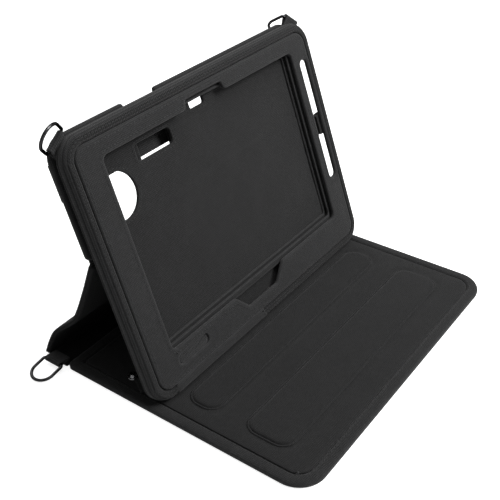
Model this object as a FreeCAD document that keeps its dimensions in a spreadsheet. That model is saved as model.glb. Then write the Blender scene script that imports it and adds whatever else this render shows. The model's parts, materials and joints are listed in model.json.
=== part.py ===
import FreeCAD, Part
import math
import os
import Sketcher
from FreeCAD import Placement, Rotation, Vector

# Folding case for a ten-inch tablet, standing open.
# Frame: X along the long side, the base cover's front edge at -Y, Z up.
# Origin: middle of the base cover's underside.
# The tray's own frame: X along it, Y up its face from the foot, Z out of its face.
# The stand's own frame: Y from the bottom fold to the tray hinge, Z toward the tray.

SIZES = {
    "case_len": 285.0, "cover_depth": 220.0,
    "front_round": 22.0, "back_round": 5.0,
    "fabric": 0.9, "lining_gap": 0.4,
    "base_board": 1.8, "base_foam": 1.5, "base_lining": 0.8,
    "border": 9.0, "border_high": 4.1,
    "pad_len": 238.0, "pad_high": 1.8, "pad_round": 12.0, "pad_left": -120.0,
    "pad_a_y": -17.0, "pad_a_deep": 29.0,
    "pad_b_y": -79.0, "pad_b_deep": 40.0,
    "stud_x": -124.0, "stud_y": 58.0, "stud_wide": 8.0, "stud_high": 3.0,
    "fold_a": 110.4, "fold_b": 131.0, "fold_up": 0.5,
    "spine_len": 283.0, "spine_board": 1.6, "spine_deep": 18.6,
    "panel_len": 280.0, "panel_board": 1.6, "panel_lining": 0.7,
    "crease": 50.0, "crease_gap": 3.0, "panel_round": 8.0,
    "tray_y": 14.5, "tray_up": 7.5, "lean": 19.5,
    "tray_high": 205.0, "tray_round": 19.0,
    "rim_wide": 8.0, "rim_top": -1.2, "rim_low": -10.5, "rim_soft": 4.3,
    "face_low": -3.2, "face_round": 12.0,
    "win_left": -112.0, "win_low": 32.5, "win_wide": 224.0, "win_high": 151.0,
    "win_round": 4.5,
    "floor_top": -9.6, "board_low": -12.0, "back_pad_low": -15.8,
    "hinge_v": 116.0, "hinge_w": -16.2,
    "over_low": -20.5, "over_top": -16.5, "over_foot": 119.2, "over_head": 206.0,
    "strap_wide": 27.0, "strap_v": 163.0, "strap_thick": 1.8,
    "wire": 2.4, "ring_half": 9.5, "ring_side": 11.0, "ring_bend": 2.5,
    "tab_half": 8.0, "tab_thick": 3.6, "tab_hole": 3.0,
}

doc = FreeCAD.newDocument("tablet_case")
sheet = doc.addObject("Spreadsheet::Sheet", "Sizes")
for row, (alias, number) in enumerate(SIZES.items(), start=1):
    cell = "B" + str(row)
    sheet.set("A" + str(row), alias)
    sheet.set(cell, repr(number))
    sheet.setAlias(cell, alias)
doc.recompute()


def size(alias):
    return SIZES[alias]


def plane_of(body, role="XY_Plane"):
    for feature in body.Origin.OriginFeatures:
        if feature.Role == role:
            return feature
    raise ValueError(role)


def new_body(label):
    body = doc.addObject("PartDesign::Body", label)
    body.Label = label
    return body


def bind(target, path, expression):
    if expression:
        target.setExpression(path, expression)


def number_of(value):
    """A length is a number, an alias, or an (alias, factor, extra) triple."""
    if isinstance(value, str):
        return size(value)
    if isinstance(value, tuple):
        return size(value[0]) * value[1] + value[2]
    return float(value)


def text_of(value):
    if isinstance(value, str):
        return "Sizes." + value
    if isinstance(value, tuple):
        return "Sizes.%s * %r + %r" % value
    return ""


def new_sketch(body, name, level):
    sketch = body.newObject("Sketcher::SketchObject", body.Name + "_" + name)
    sketch.AttachmentSupport = [(plane_of(body), "")]
    sketch.MapMode = "FlatFace"
    sketch.AttachmentOffset = Placement(Vector(0, 0, number_of(level)), Rotation())
    bind(sketch, "AttachmentOffset.Base.z", text_of(level))
    return sketch


def name_last(sketch, name, value):
    sketch.renameConstraint(sketch.ConstraintCount - 1, name)
    bind(sketch, "Constraints." + name, text_of(value))


def rounded_rect(sketch, mark, x_low, y_low, wide, high, rounds):
    """Four lines and four tangent arcs; rounds run from the low-left corner anticlockwise."""
    x0 = number_of(x_low)
    y0 = number_of(y_low)
    x1 = x0 + number_of(wide)
    y1 = y0 + number_of(high)
    r = [number_of(value) for value in rounds]
    first = sketch.GeometryCount
    ends = [(Vector(x0 + r[0], y0, 0), Vector(x1 - r[1], y0, 0)),
            (Vector(x1, y0 + r[1], 0), Vector(x1, y1 - r[2], 0)),
            (Vector(x1 - r[2], y1, 0), Vector(x0 + r[3], y1, 0)),
            (Vector(x0, y1 - r[3], 0), Vector(x0, y0 + r[0], 0))]
    for start, end in ends:
        sketch.addGeometry(Part.LineSegment(start, end), False)
    centres = [Vector(x0 + r[0], y0 + r[0], 0), Vector(x1 - r[1], y0 + r[1], 0),
               Vector(x1 - r[2], y1 - r[2], 0), Vector(x0 + r[3], y1 - r[3], 0)]
    turns = [math.pi, 1.5 * math.pi, 0.0, 0.5 * math.pi]
    for centre, turn, radius in zip(centres, turns, r):
        circle = Part.Circle(centre, Vector(0, 0, 1), radius)
        arc = Part.ArcOfCircle(circle, turn, turn + 0.5 * math.pi)
        sketch.addGeometry(arc, False)
    for side in range(4):
        before = first + (side - 1) % 4
        sketch.addConstraint(Sketcher.Constraint(
            "Tangent", before, 2, first + 4 + side, 1))
        sketch.addConstraint(Sketcher.Constraint(
            "Tangent", first + 4 + side, 2, first + side, 1))
    sketch.addConstraint(Sketcher.Constraint("Horizontal", first))
    sketch.addConstraint(Sketcher.Constraint("Vertical", first + 1))
    for corner in range(4):
        sketch.addConstraint(Sketcher.Constraint("Radius", first + 4 + corner, r[corner]))
        name_last(sketch, mark + "_round_" + str(corner), rounds[corner])
    sketch.addConstraint(Sketcher.Constraint("DistanceX", -1, 1, first + 3, 1, x0))
    name_last(sketch, mark + "_left", x_low)
    sketch.addConstraint(Sketcher.Constraint("DistanceY", -1, 1, first, 1, y0))
    name_last(sketch, mark + "_low", y_low)
    sketch.addConstraint(Sketcher.Constraint("DistanceX", first + 3, 1, first + 1, 1, x1 - x0))
    name_last(sketch, mark + "_wide", wide)
    sketch.addConstraint(Sketcher.Constraint("DistanceY", first, 1, first + 2, 1, y1 - y0))
    name_last(sketch, mark + "_high", high)


def pad(body, sketch, height, name="pad"):
    feature = body.newObject("PartDesign::Pad", body.Name + "_" + name)
    feature.Profile = sketch
    feature.Length = number_of(height)
    bind(feature, "Length", text_of(height))
    sketch.Visibility = False
    doc.recompute()
    return feature


def pocket(body, sketch, depth, name):
    """Cuts away from the sketch, toward lower Z, and checks that something was cut."""
    before = body.Shape.Volume
    feature = body.newObject("PartDesign::Pocket", body.Name + "_" + name)
    feature.Profile = sketch
    feature.Length = number_of(depth)
    bind(feature, "Length", text_of(depth))
    doc.recompute()
    if body.Shape.Volume >= before - 0.01:
        raise ValueError("nothing cut: " + body.Label + " " + name)
    return feature


def plate(label, rect, low, thick, rounds):
    body = new_body(label)
    sketch = new_sketch(body, "outline", low)
    rounded_rect(sketch, "outline", *rect, rounds)
    pad(body, sketch, thick)
    return body


def cut_rect(body, name, rect, top, depth, rounds):
    sketch = new_sketch(body, name, top)
    rounded_rect(sketch, name, *rect, rounds)
    pocket(body, sketch, depth, name)


def cut_round(body, name, x, y, radius, top, depth):
    sketch = new_sketch(body, name, top)
    circle = Part.Circle(Vector(x, y, 0), Vector(0, 0, 1), radius)
    sketch.addGeometry(circle, False)
    sketch.addConstraint(Sketcher.Constraint("Radius", 0, radius))
    sketch.addConstraint(Sketcher.Constraint("DistanceX", -1, 1, 0, 3, x))
    sketch.addConstraint(Sketcher.Constraint("DistanceY", -1, 1, 0, 3, y))
    pocket(body, sketch, depth, name)


def soften(body, picks, radius, name="soft"):
    """Fillets the edges whose middle passes the test."""
    shape = body.Shape
    chosen = []
    for index, edge in enumerate(shape.Edges, start=1):
        middle = edge.valueAt(0.5 * (edge.FirstParameter + edge.LastParameter))
        if picks(middle, edge):
            chosen.append("Edge" + str(index))
    source = body.Tip
    feature = body.newObject("PartDesign::Fillet", body.Name + "_" + name)
    feature.Base = (source, chosen)
    feature.Radius = number_of(radius)
    bind(feature, "Radius", text_of(radius))
    doc.recompute()
    return feature


def at_level(level):
    goal = number_of(level)
    return lambda middle, edge: abs(middle.z - goal) < 0.01


def even(radius):
    return [radius, radius, radius, radius]


# ---------------------------------------------------------------- placements
LEAN = math.radians(size("lean"))
TRAY_TURN = Rotation(Vector(1, 0, 0), 90.0 - size("lean"))
TRAY_PLACE = Placement(Vector(0, size("tray_y"), size("tray_up")), TRAY_TURN)
HINGE = TRAY_PLACE.multVec(Vector(0, size("hinge_v"), size("hinge_w")))
FOLD_B = Vector(0, size("fold_b"), size("fold_up"))
PANEL_THICK = size("fabric") + size("panel_board") + size("panel_lining")
HINGE_RISE = PANEL_THICK + 0.3 - size("fold_up")
SPAN = (HINGE - FOLD_B).Length
PANEL_RUN = math.sqrt(SPAN ** 2 - HINGE_RISE ** 2)
PANEL_TILT = math.degrees(math.atan2(FOLD_B.y - HINGE.y, HINGE.z - FOLD_B.z)
                          - math.atan2(HINGE_RISE, PANEL_RUN))
PANEL_TURN = Rotation(Vector(1, 0, 0), 90.0 + PANEL_TILT)
PANEL_PLACE = Placement(
    FOLD_B - PANEL_TURN.multVec(Vector(0, 0, size("fold_up"))), PANEL_TURN)


def on_tray(body):
    body.Placement = TRAY_PLACE
    return body


def on_panel(body):
    body.Placement = PANEL_PLACE
    return body


# ---------------------------------------------------------------- base cover
def centred(length, inset):
    return -0.5 * size(length) + inset


def cover_outline(inset):
    wide = ("case_len", 1.0, -2.0 * inset)
    deep = ("cover_depth", 1.0, -2.0 * inset)
    left = ("case_len", -0.5, inset)
    low = ("cover_depth", -0.5, inset)
    return (left, low, wide, deep)


def cover_rounds(inset):
    front = ("front_round", 1.0, -min(inset, 12.0))
    back = ("back_round", 1.0, -min(inset, 2.0))
    return [front, front, back, back]


def make_base():
    made = [plate("base_outer", cover_outline(0.0), 0.0, "fabric", cover_rounds(0.0))]
    border = plate("base_border", cover_outline(0.0), "fabric", "border_high",
                   cover_rounds(0.0))
    top = size("fabric") + size("border_high")
    cut_rect(border, "middle", cover_outline(size("border")), top, 10.0,
             cover_rounds(size("border")))
    half_len = 0.5 * size("case_len")
    half_deep = 0.5 * size("cover_depth")
    outer = lambda middle, edge: (
        abs(middle.z - top) < 0.01
        and (abs(middle.x) > half_len - 8.0 or abs(middle.y) > half_deep - 8.0))
    soften(border, outer, 1.6)
    made.append(border)
    inner = size("border") + size("lining_gap")
    level = size("fabric")
    for label, alias in (("base_board", "base_board"), ("base_foam", "base_foam"),
                         ("base_lining", "base_lining")):
        made.append(plate(label, cover_outline(inner), level, alias, cover_rounds(inner)))
        level = level + size(alias)
    for label, mark in (("pad_back", "pad_a"), ("pad_front", "pad_b")):
        rect = ("pad_left", mark + "_y", "pad_len", mark + "_deep")
        body = plate(label, rect, level, "pad_high", even("pad_round"))
        soften(body, at_level(level + size("pad_high")), 1.2)
        made.append(body)
    made.append(make_stud(level))
    return made


def make_stud(level):
    """Turned press stud: flange, neck and domed head."""
    body = new_body("press_stud")
    sketch = body.newObject("Sketcher::SketchObject", "press_stud_turn")
    sketch.AttachmentSupport = [(plane_of(body, "XZ_Plane"), "")]
    sketch.MapMode = "FlatFace"
    wide = 0.5 * size("stud_wide")
    high = size("stud_high")
    points = [(0, 0), (wide, 0), (wide, 0.6), (0.5 * wide, 0.9), (0.45 * wide, 0.6 * high),
              (0.6 * wide, 0.75 * high), (0.5 * wide, 0.95 * high), (0, high)]
    for index, point in enumerate(points):
        follow = points[(index + 1) % len(points)]
        sketch.addGeometry(Part.LineSegment(
            Vector(point[0], point[1], 0), Vector(follow[0], follow[1], 0)), False)
    for index in range(len(points)):
        sketch.addConstraint(Sketcher.Constraint(
            "Coincident", index, 2, (index + 1) % len(points), 1))
    feature = body.newObject("PartDesign::Revolution", "press_stud_revolution")
    feature.Profile = sketch
    feature.ReferenceAxis = (sketch, ["V_Axis"])
    feature.Angle = 360.0
    doc.recompute()
    body.Placement = Placement(Vector(size("stud_x"), size("stud_y"), level), Rotation())
    bind(body, "Placement.Base.x", "Sizes.stud_x")
    bind(body, "Placement.Base.y", "Sizes.stud_y")
    return body


# ---------------------------------------------------------------- spine
def make_spine():
    start = size("fold_a") + 0.7
    left = ("spine_len", -0.5, 0.0)
    outer = plate("spine_outer", (left, start, "spine_len", "spine_deep"), 0.0, "fabric",
                  even(0.8))
    board = plate("spine_board", (-136.0, start + 3.4, 272.0, 10.0), "fabric",
                  "spine_board", even(2.0))
    level = size("fabric") + size("spine_board")
    lining = plate("spine_lining", (-138.0, start + 2.4, 276.0, 11.6), level, 0.7,
                   even(2.0))
    return [outer, board, lining]


# ---------------------------------------------------------------- stand panel
def make_panel():
    run = PANEL_RUN
    left = ("panel_len", -0.5, 0.0)
    outer = plate("stand_outer", (left, 1.4, "panel_len", run - 3.2), 0.0, "fabric",
                  even(1.5))
    low_board = plate("stand_board_low", (-137.0, 6.4, 274.0, size("crease") - 6.4),
                      "fabric", "panel_board", even(3.0))
    second = size("crease") + size("crease_gap")
    high_board = plate("stand_board_high", (-137.0, second, 274.0, run - second - 3.4),
                       "fabric", "panel_board", even(3.0))
    level = size("fabric") + size("panel_board")
    lining = plate("stand_lining", (-138.4, 6.4, 276.8, run - 9.0), level,
                   "panel_lining", even(3.0))
    return [on_panel(body) for body in (outer, low_board, high_board, lining)]


# ---------------------------------------------------------------- tray
def tray_outline(inset):
    return (("case_len", -0.5, inset), inset,
            ("case_len", 1.0, -2.0 * inset), ("tray_high", 1.0, -2.0 * inset))


SIDE_CUTS = ((58.0, 47.0), (122.0, 53.0))
BACK_CUTS = ((50.0, 52.0), (116.0, 56.0))


def edge_is_outer(middle, edge, half, high):
    """True for level edges on the outer wall of the tray's outline."""
    flat = edge.BoundBox.ZLength < 0.01
    near_x = abs(middle.x) > half - 6.5
    near_y = abs(middle.y - 0.5 * high) > 0.5 * high - 6.5
    return flat and (near_x or near_y)


def make_rim():
    rim = plate("edge_rim", tray_outline(0.0), "rim_low",
                size("rim_top") - size("rim_low"), even("tray_round"))
    half = 0.5 * size("case_len")
    high = size("tray_high")
    cut_rect(rim, "middle", tray_outline(size("rim_wide")), "rim_top", 20.0,
             even(("tray_round", 1.0, -8.0)))
    outer = lambda middle, edge: edge_is_outer(middle, edge, half, high)
    soften(rim, outer, "rim_soft")
    for index, (low, run) in enumerate(SIDE_CUTS):
        cut_rect(rim, "side_" + str(index), (half - 12.0, low, 20.0, run), -4.0, 20.0,
                 even(3.0))
    return rim


def make_face():
    inset = size("rim_wide") + 0.3
    face = plate("front_frame", tray_outline(inset), "face_low",
                 ("face_low", -1.0, 0.0), even("face_round"))
    cut_rect(face, "window", ("win_left", "win_low", "win_wide", "win_high"), 0.0, 8.0,
             even("win_round"))
    cut_rect(face, "head_notch", (-23.5, 175.0, 43.5, 15.5), 0.0, 8.0, even(3.0))
    cut_rect(face, "slot", (121.0, 66.0, 9.5, 107.0), 0.0, 8.0, even(4.2))
    cut_rect(face, "sound_slot", (-110.0, 18.2, 34.0, 8.0), 0.0, 8.0, even(3.6))
    cut_foot_notch(face)
    soften(face, at_level(0.0), 0.7)
    return face


def cut_foot_notch(face):
    """Tapered thumb notch in the lower edge of the window."""
    sketch = new_sketch(face, "foot_notch", 0.0)
    points = [Vector(-37.0, 34.0, 0), Vector(-23.0, 18.5, 0), Vector(15.0, 18.5, 0),
              Vector(30.0, 34.0, 0)]
    for index in range(4):
        sketch.addGeometry(Part.LineSegment(points[index], points[(index + 1) % 4]), False)
    for index in range(4):
        sketch.addConstraint(Sketcher.Constraint("Coincident", index, 2, (index + 1) % 4, 1))
    sketch.addConstraint(Sketcher.Constraint("Horizontal", 1))
    sketch.addConstraint(Sketcher.Constraint("Horizontal", 3))
    sketch.addConstraint(Sketcher.Constraint("DistanceX", 1, 1, 1, 2, 38.0))
    sketch.addConstraint(Sketcher.Constraint("DistanceX", -1, 1, 1, 1, -23.0))
    sketch.addConstraint(Sketcher.Constraint("DistanceY", -1, 1, 1, 1, 18.5))
    pocket(face, sketch, 8.0, "foot_notch")
    corners = lambda middle, edge: (
        abs(middle.y - 18.5) < 0.05 and abs(middle.z + 1.6) < 0.2 and edge.Length < 4.0)
    soften(face, corners, 4.0, "notch_round")


def make_walls():
    """Foam wall round the edge, open at the right but for a bridge, and two narrow steps."""
    inset = size("rim_wide") + 0.3
    deep = size("face_low") - size("floor_top")
    wall = plate("side_wall", tray_outline(inset), "floor_top", deep,
                 even(("tray_round", 1.0, -8.3)))
    cut_rect(wall, "middle", tray_outline(inset + 6.7), "face_low", 12.0, even(5.0))
    first, last = SIDE_CUTS[0], SIDE_CUTS[-1]
    cut_rect(wall, "side", (119.0, first[0], 24.0, last[0] + last[1] - first[0]), "face_low",
             12.0, even(0.5))
    bridge = plate("wall_bridge", (127.6, first[0] + first[1], 6.5, 17.0), "floor_top", deep,
                   even(1.0))
    made = [wall, bridge]
    for label, low, high, outer, inner in (
            ("step_low", size("floor_top"), -7.0, (-121.0, 29.5, 239.0, 160.0),
             (-116.0, 36.5, 224.5, 149.5)),
            ("step_high", -7.0, -4.4, (-121.0, 29.5, 238.0, 160.0),
             (-117.0, 34.6, 227.2, 152.4))):
        body = plate(label, outer, low, high - low, even(6.0))
        cut_rect(body, "middle", inner, high, 8.0, even(3.0))
        made.append(body)
    return made


def make_tray_back():
    inset = size("rim_wide") + 0.3
    board = plate("tray_board", tray_outline(inset), "board_low",
                  size("floor_top") - size("board_low") - 0.7, even(("tray_round", 1.0, -8.3)))
    floor = plate("tray_floor", tray_outline(inset + 2.0), ("floor_top", 1.0, -0.7), 0.7,
                  even(("tray_round", 1.0, -10.3)))
    cushion = plate("back_cushion", (-124.0, 14.0, 248.0, 178.0), "back_pad_low",
                    size("board_low") - size("back_pad_low"), even(14.0))
    for body, top in ((board, size("floor_top")), (floor, size("floor_top")),
                      (cushion, size("board_low"))):
        for index, (start, run) in enumerate(BACK_CUTS):
            if body is not cushion:
                cut_rect(body, "side_" + str(index), (127.0, start, 20.0, run), top, 9.0,
                         even(3.0))
        shift = 3.5 if body is cushion else 0.0
        cut_round(body, "lens", -102.5 + shift, 150.3 - 0.5 * shift, 17.6 + shift, top, 9.0)
        cut_rect(body, "slit", (-75.5 - shift, 164.5 - 2.0 * shift, 38.0 + 3.0 * shift,
                                12.6 + 3.0 * shift), top, 9.0, even(3.5))
        cut_rect(body, "port", (-11.0 - shift, 179.8 - 2.0 * shift, 16.5 + 3.0 * shift,
                                8.0 + 2.2 * shift), top, 9.0, even(2.5))
    return [board, floor, cushion]


def make_over_cover():
    """Upper half of the back cover: skin, board and inner skin, sewn to the cushion."""
    made = []
    low = size("over_low")
    head = size("over_head") - size("over_foot")
    layers = (("over_outer", low, 0.9, 0.0), ("over_board", low + 0.9, 2.3, 2.2),
              ("over_inner", low + 3.2, 1.5, 0.0))
    for label, level, thick, inset in layers:
        rect = (-141.5 + inset, size("over_foot") + inset, 283.0 - 2.0 * inset,
                head - 2.0 * inset)
        body = plate(label, rect, level, thick, [3.0, 3.0, 17.0 - inset, 17.0 - inset])
        top = level + thick
        cut_rect(body, "head_gap", (-66.0 - inset, 157.0 - inset, 33.0 + 2.0 * inset, 60.0),
                 top, 9.0, even(4.0))
        cut_round(body, "lens", -93.5, 145.5, 21.5 + inset, top, 9.0)
        cut_rect(body, "port", (-9.0 - inset, 174.0 - inset, 22.0 + 2.0 * inset,
                                14.0 + 2.0 * inset), top, 9.0, even(3.5))
        cut_rect(body, "side", (134.0 - inset, 112.0, 20.0, 56.0 + inset), top, 9.0,
                 even(3.0))
        made.append(body)
    return made


def make_strap():
    low = size("over_low") - size("strap_thick")
    body = plate("hand_strap", (-141.0, "strap_v", 127.0, "strap_wide"), low,
                 "strap_thick", even(1.5))
    return body


def make_mesh():
    body = plate("sound_mesh", (-109.6, 18.6, 33.2, 7.2), -2.6, 1.4, even(3.2))
    return body


def make_tray():
    made = [make_rim(), make_face()]
    made.extend(make_walls())
    made.extend(make_tray_back())
    made.extend(make_over_cover())
    made.append(make_strap())
    made.append(make_mesh())
    return [on_tray(body) for body in made]


# ---------------------------------------------------------------- rings and tabs
def ring_frame(centre, along, out):
    """Placement with X out of the tab and Y along the ring's straight bar."""
    up = out.cross(along)
    matrix = FreeCAD.Matrix(out.x, along.x, up.x, centre.x,
                            out.y, along.y, up.y, centre.y,
                            out.z, along.z, up.z, centre.z,
                            0, 0, 0, 1)
    return Placement(matrix)


def tray_vector(u, v, w):
    return TRAY_TURN.multVec(Vector(u, v, w))


def tray_point(u, v, w):
    return TRAY_PLACE.multVec(Vector(u, v, w))


DROOP = math.radians(10.0)


def square_to(vector, axis):
    """The part of a vector that is square to an axis, at unit length."""
    along = Vector(axis)
    along.normalize()
    rest = vector - along * vector.dot(along)
    rest.normalize()
    return rest


BAR_LEFT = tray_vector(-0.74, -0.61, -0.28)
BAR_RIGHT = tray_vector(0.77, -0.64, 0.0)
BAR_LEFT.normalize()
BAR_RIGHT.normalize()
BACKWARD = math.radians(105.0)
OUTWARD_RIGHT = square_to(tray_vector(0.64, 0.77, 0.0), BAR_RIGHT)
RINGS = {
    "top_left": (tray_point(-135.5, 203.8, -11.3), BAR_LEFT,
                 square_to(tray_vector(-0.64, 0.512, 0.573), BAR_LEFT)),
    "top_right": (tray_point(138.7, 205.2, -12.0), BAR_RIGHT,
                  OUTWARD_RIGHT * math.cos(BACKWARD)
                  + tray_vector(0.0, 0.0, -1.0) * math.sin(BACKWARD)),
    "bottom_left": (Vector(-146.0, 120.0, 5.0), Vector(0, 1, 0),
                    Vector(-math.cos(DROOP), 0, -math.sin(DROOP))),
    "bottom_right": (Vector(146.0, 120.0, 5.0), Vector(0, 1, 0),
                     Vector(math.cos(DROOP), 0, -math.sin(DROOP))),
}


def make_ring(name):
    """Bent wire: straight bar, two short sides and a half-round end, swept round its path."""
    centre, along, out = RINGS[name]
    body = new_body("ring_" + name)
    path = body.newObject("Sketcher::SketchObject", body.Name + "_path")
    path.AttachmentSupport = [(plane_of(body), "")]
    path.MapMode = "FlatFace"
    half = size("ring_half")
    side = size("ring_side")
    bend = size("ring_bend")
    lines = [((0, -half + bend), (0, half - bend)), ((bend, half), (side, half)),
             ((side, -half), (bend, -half))]
    for start, end in lines:
        path.addGeometry(Part.LineSegment(Vector(*start, 0), Vector(*end, 0)), False)
    arcs = [((bend, half - bend), bend, 0.5 * math.pi, math.pi),
            ((side, 0), half, -0.5 * math.pi, 0.5 * math.pi),
            ((bend, -half + bend), bend, math.pi, 1.5 * math.pi)]
    for middle, radius, start, end in arcs:
        circle = Part.Circle(Vector(*middle, 0), Vector(0, 0, 1), radius)
        path.addGeometry(Part.ArcOfCircle(circle, start, end), False)
    for first, first_end, second, second_end in ((0, 2, 3, 2), (3, 1, 1, 1), (1, 2, 4, 2),
                                                 (4, 1, 2, 1), (2, 2, 5, 2), (5, 1, 0, 1)):
        path.addConstraint(Sketcher.Constraint(
            "Coincident", first, first_end, second, second_end))
    path.addConstraint(Sketcher.Constraint("Radius", 4, half))
    path.renameConstraint(path.ConstraintCount - 1, "half")
    path.setExpression("Constraints.half", "Sizes.ring_half")
    section = body.newObject("Sketcher::SketchObject", body.Name + "_section")
    section.AttachmentSupport = [(plane_of(body, "XZ_Plane"), "")]
    section.MapMode = "FlatFace"
    circle = Part.Circle(Vector(0, 0, 0), Vector(0, 0, 1), 0.5 * size("wire"))
    section.addGeometry(circle, False)
    section.addConstraint(Sketcher.Constraint("Diameter", 0, size("wire")))
    section.renameConstraint(0, "wire")
    section.setExpression("Constraints.wire", "Sizes.wire")
    pipe = body.newObject("PartDesign::AdditivePipe", body.Name + "_pipe")
    pipe.Profile = section
    pipe.Spine = (path, [])
    doc.recompute()
    body.Placement = ring_frame(centre, along, out)
    return body


def tab_slice(frame, reach, sink, half, thick):
    """Closed rectangle across the tab at one distance from the ring's bar."""
    corners = [Vector(reach, -half, sink - 0.5 * thick), Vector(reach, half, sink - 0.5 * thick),
               Vector(reach, half, sink + 0.5 * thick), Vector(reach, -half, sink + 0.5 * thick)]
    points = [frame.multVec(corner) for corner in corners]
    return Part.makePolygon(points + [points[0]])


def flat_slice(points):
    return Part.makePolygon(points + [points[0]])


def corner_slice(u, v, w, along, half, thick):
    """Closed rectangle across a tab inside the tray's corner, level with the tray."""
    middle = tray_point(u, v, w)
    rise = tray_vector(0.0, 0.0, 0.5 * thick)
    side = tray_vector(along[0], along[1], 0.0)
    side.normalize()
    side = side * half
    return flat_slice([middle - side - rise, middle + side - rise,
                       middle + side + rise, middle - side + rise])


def bored_tab(name, solid):
    """Bores the tab for the ring's bar, so that the ring turns in it."""
    centre, along, out = RINGS[name]
    start = centre - along * 30.0
    bore = Part.makeCylinder(0.5 * size("tab_hole"), 60.0, start, along)
    feature = doc.addObject("Part::Feature", "tab_" + name)
    feature.Label = "tab_" + name
    feature.Shape = solid.cut(bore).removeSplitter()
    return feature


def make_tab_top(name, inner, along):
    """Webbing that leaves the tray's corner between the rim and the back cover."""
    centre, bar, out = RINGS[name]
    radial = square_to(centre - tray_point(*inner), bar)
    frame = ring_frame(centre, bar, radial)
    half = size("tab_half") - 0.4
    thick = size("tab_thick")
    base = corner_slice(*inner, along, half, 3.0)
    near = tab_slice(frame, -1.8, 0.0, half, thick)
    far = tab_slice(frame, 2.6, 0.0, half, thick)
    rear = Part.makeLoft([base, near], True, True)
    front = Part.makeLoft([near, far], True, True)
    return bored_tab(name, rear.fuse(front))


def make_tab_bottom(name, sign):
    """Webbing sewn on the spine's end: a thin tail inboard and the loop outboard."""
    level = size("fabric") + size("spine_board") + 0.7
    tail = Part.makeBox(12.6, 9.0, 1.9, Vector(128.2, 112.4, level))
    loop = Part.makeBox(8.2, 15.4, size("tab_thick"), Vector(140.4, 112.3, level))

    solid = tail.fuse(loop)
    if sign < 0:
        solid = solid.mirror(Vector(0, 0, 0), Vector(1, 0, 0))
    return bored_tab(name, solid)


def make_rings_and_tabs():
    made = [make_ring(name) for name in RINGS]
    made.append(make_tab_top("top_left", (-129.5, 193.0, -13.9), (-0.74, -0.61)))
    made.append(make_tab_top("top_right", (129.5, 193.0, -13.9), (0.77, -0.64)))
    made.append(make_tab_bottom("bottom_left", -1))
    made.append(make_tab_bottom("bottom_right", 1))
    return made


# ---------------------------------------------------------------- build and write
def check_all(pieces):
    for item in doc.Objects:
        state = [str(word) for word in item.State]
        if "Invalid" in state or "Error" in state:
            raise ValueError("failed: " + item.Label + " " + str(state))
    for piece in pieces:
        shape = piece.Shape
        if shape.isNull() or not shape.isValid():
            raise ValueError("bad shape: " + piece.Label)
        if len(shape.Solids) != 1:
            raise ValueError("not one solid: " + piece.Label + " " + str(len(shape.Solids)))


def main():
    pieces = make_base()
    pieces.extend(make_spine())
    pieces.extend(make_panel())
    pieces.extend(make_tray())
    pieces.extend(make_rings_and_tabs())
    doc.recompute()
    check_all(pieces)
    os.makedirs("parts", exist_ok=True)
    for piece in pieces:
        piece.Shape.exportStep("parts/" + piece.Label + ".step")
        box = piece.Shape.BoundBox
        print(piece.Label, round(piece.Shape.Volume, 1), [round(value, 1) for value in (
            box.XMin, box.YMin, box.ZMin, box.XMax, box.YMax, box.ZMax)])
    print("tray hinge", HINGE, "panel run", round(PANEL_RUN, 3), "tilt", round(PANEL_TILT, 3))
    for name, (centre, along, out) in RINGS.items():
        print(name, tuple(centre), tuple(along), tuple(out))


main()
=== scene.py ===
import json
import math

import bmesh
import bpy
import numpy as np
from mathutils import Matrix, Vector, noise
from mathutils.geometry import delaunay_2d_cdt


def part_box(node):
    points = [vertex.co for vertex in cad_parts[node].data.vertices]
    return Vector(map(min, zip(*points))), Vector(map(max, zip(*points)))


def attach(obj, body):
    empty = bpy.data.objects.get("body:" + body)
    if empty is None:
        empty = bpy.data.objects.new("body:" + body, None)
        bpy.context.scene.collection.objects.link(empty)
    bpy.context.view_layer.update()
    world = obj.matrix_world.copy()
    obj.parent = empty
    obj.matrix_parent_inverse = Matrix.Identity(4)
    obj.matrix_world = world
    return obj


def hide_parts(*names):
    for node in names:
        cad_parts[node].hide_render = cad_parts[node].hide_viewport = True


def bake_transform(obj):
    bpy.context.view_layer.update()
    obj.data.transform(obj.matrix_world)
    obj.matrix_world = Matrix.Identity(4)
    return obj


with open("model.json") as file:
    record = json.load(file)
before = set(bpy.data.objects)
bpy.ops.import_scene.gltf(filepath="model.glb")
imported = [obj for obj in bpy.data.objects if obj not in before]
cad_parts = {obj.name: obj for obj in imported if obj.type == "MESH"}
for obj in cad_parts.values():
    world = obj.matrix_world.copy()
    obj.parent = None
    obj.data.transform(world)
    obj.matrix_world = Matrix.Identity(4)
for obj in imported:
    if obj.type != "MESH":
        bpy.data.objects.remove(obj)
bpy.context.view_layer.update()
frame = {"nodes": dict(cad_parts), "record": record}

# Lengths below are in millimetres; a place function turns them into metres in the frame.
MM = 0.001

# ---------------------------------------------------------------- the case's own sizes
CASE_LONG = 285.0
COVER_DEEP = 220.0
TRAY_HIGH = 205.0
TRAY_ROUND = 19.0
FRONT_ROUND = 22.0
BACK_ROUND = 5.0
COVER_TOP = 5.0
LEAN = math.radians(19.5)
HINGE_V = 116.0
HINGE_W = -16.2
SIDE_CUTS = ((58.0, 47.0), (122.0, 53.0))

JOINTS = {joint["name"]: joint for joint in frame["record"]["behaviour"]["joints"]}
RING_JOINTS = {name: "ring_" + name + "_swing"
               for name in ("top_left", "top_right", "bottom_left", "bottom_right")}
TRAY_UP = Vector((0.0, math.sin(LEAN), math.cos(LEAN)))
TRAY_OUT = Vector((0.0, -TRAY_UP.z, TRAY_UP.y))
TRAY_HINGE = Vector(JOINTS["tray_hinge"]["pos_m"])
TRAY_FOOT = TRAY_HINGE - TRAY_UP * HINGE_V * MM - TRAY_OUT * HINGE_W * MM


# ---------------------------------------------------------------- places
def on_table(x, y, z):
    return Vector((x, y, z)) * MM


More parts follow.
